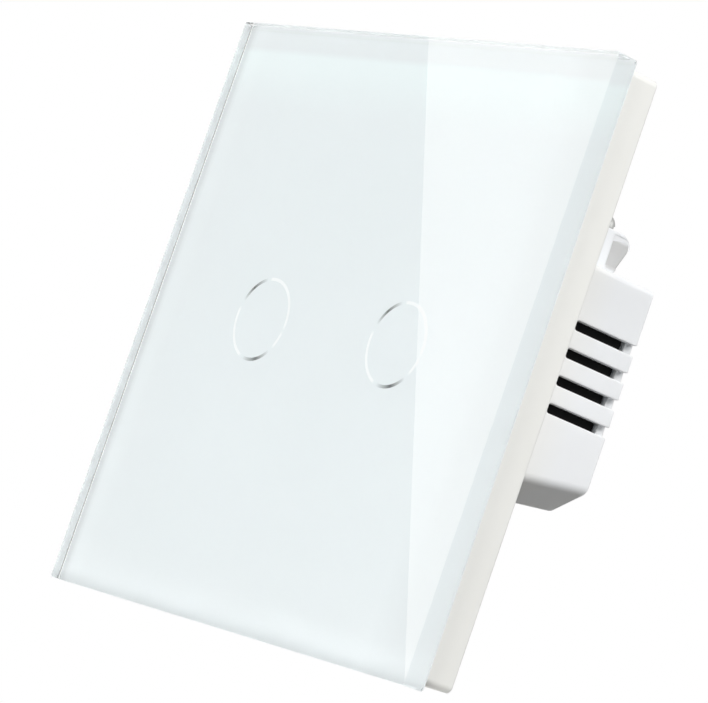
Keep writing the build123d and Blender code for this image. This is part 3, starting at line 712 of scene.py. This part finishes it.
def pocket_corners(material):
    """The hollow corners under the lips of the pockets in the outer fins, one on each side."""
    outline = [(lip_front, lip_top, 0.0, -1.0)]
    for step in range(lip_steps + 1):
        angle = pi / 2 * (1 - step / lip_steps)
        y = lip_back - lip_corner + lip_corner * cos(angle)
        z = lip_top - lip_corner + lip_corner * sin(angle)
        outline.append((y, z, -cos(angle), -sin(angle)))

    def depth_at(y):
        """The depth of the pocket's slanted floor at this place."""
        return lip_depth - (y - lip_front) * tan(lip_tilt)

    shape = bmesh.new()
    for side in (-1, 1):
        rows = []
        for y, z, inward_y, inward_z in outline:
            width = lip_hollow * depth_at(y) / lip_depth
            floor_y = y + inward_y * width
            floor_x = side * (lip_side - depth_at(floor_y) - lip_overlap)
            outer_y = y - inward_y * lip_overlap
            outer_z = z - inward_z * lip_overlap
            points = [
                (side * (lip_side - lip_overlap / 2), outer_y, outer_z),
                (floor_x, floor_y, z + inward_z * width),
                (floor_x, outer_y, outer_z),
            ]
            rows.append([shape.verts.new(point) for point in points])
        for row, after in zip(rows, rows[1:]):
            for place in range(len(row)):
                shape.faces.new((row[place - 1], row[place], after[place], after[place - 1]))
        shape.faces.new(rows[0])
        shape.faces.new(rows[-1])
    bmesh.ops.recalc_face_normals(shape, faces=shape.faces)
    piece = solid_piece("pocket_corners", shape, material)
    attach(piece, "base")


place_camera()
light_world()
stage_floor()
stage_card()
area_lamp("key", key_place, key_size, key_power)
area_lamp("side", side_place, side_size, side_power)

glass = clear_glass()
materials = {
    "clear_glass": glass,
    "white_print": white_ink(),
    "silver_ring": metal("silver_ring", (0.9, 0.91, 0.91)),
    "foam_tape": plastic("foam_tape", (0.85, 0.85, 0.84), 0.8, variation=0.03, grain=0.00004),
    "cream_plastic": scatter(plastic("cream_plastic", (0.785, 0.785, 0.757), edge=frame_edge)),
    "white_plastic": plastic("white_plastic", (0.87, 0.87, 0.86)),
    "casing_plastic": scatter(casing_skin("casing_plastic", (0.85, 0.865, 0.88))),
    "zinc_steel": metal("zinc_steel", (0.37, 0.375, 0.365), 0.45),
    "nylon": plastic("nylon", (0.8, 0.79, 0.74), 0.45),
    "board_laminate": laminate(),
    "black_epoxy": plastic("black_epoxy", (0.022, 0.022, 0.023), 0.5),
    "lamp_lens": plastic("lamp_lens", (0.85, 0.83, 0.6), 0.15),
    "spring_steel": metal("spring_steel", (0.75, 0.75, 0.74), 0.22),
    "milky_plastic": plastic("milky_plastic", (0.87, 0.89, 0.89), 0.3),
    "header_plastic": plastic("header_plastic", (0.025, 0.025, 0.028), 0.5),
    "yellow_plastic": plastic("yellow_plastic", (0.7, 0.42, 0.03), 0.3),
    "capacitor_sleeve": plastic("capacitor_sleeve", (0.012, 0.018, 0.04), 0.25),
    "blue_epoxy": plastic("blue_epoxy", (0.03, 0.08, 0.3), 0.25, variation=0.06, grain=0.00003),
    "ferrite": plastic("ferrite", (0.05, 0.05, 0.05), 0.6, variation=0.2, grain=0.00003),
    "tinned_brass": metal("tinned_brass", (0.72, 0.66, 0.5), 0.28),
    "relay_plastic": plastic("relay_plastic", (0.007, 0.007, 0.007), 0.6, variation=0.1, specular=0.06),
    "relay_iron": metal("relay_iron", (0.56, 0.56, 0.56), 0.35),
    "copper_wire": winding(),
    "contact_brass": metal("contact_brass", (0.75, 0.5, 0.24), 0.28),
}
dress(materials)
for number in (1, 2):
    name = f"touch_ring_{number}"
    low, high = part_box(name)
    ring_piece(name, silver_ring(name, (low + high) / 2))
glass_piece(glass)
print_border(materials["white_print"])
# Painted light: the hollow corners under the pockets' lips get a lighter colour than the casing, lightening
# the shade there
pocket_corners(plastic("pocket_corner_painted_light", (0.94, 0.95, 0.965)))

bpy.context.scene.view_settings.view_transform = "Standard"
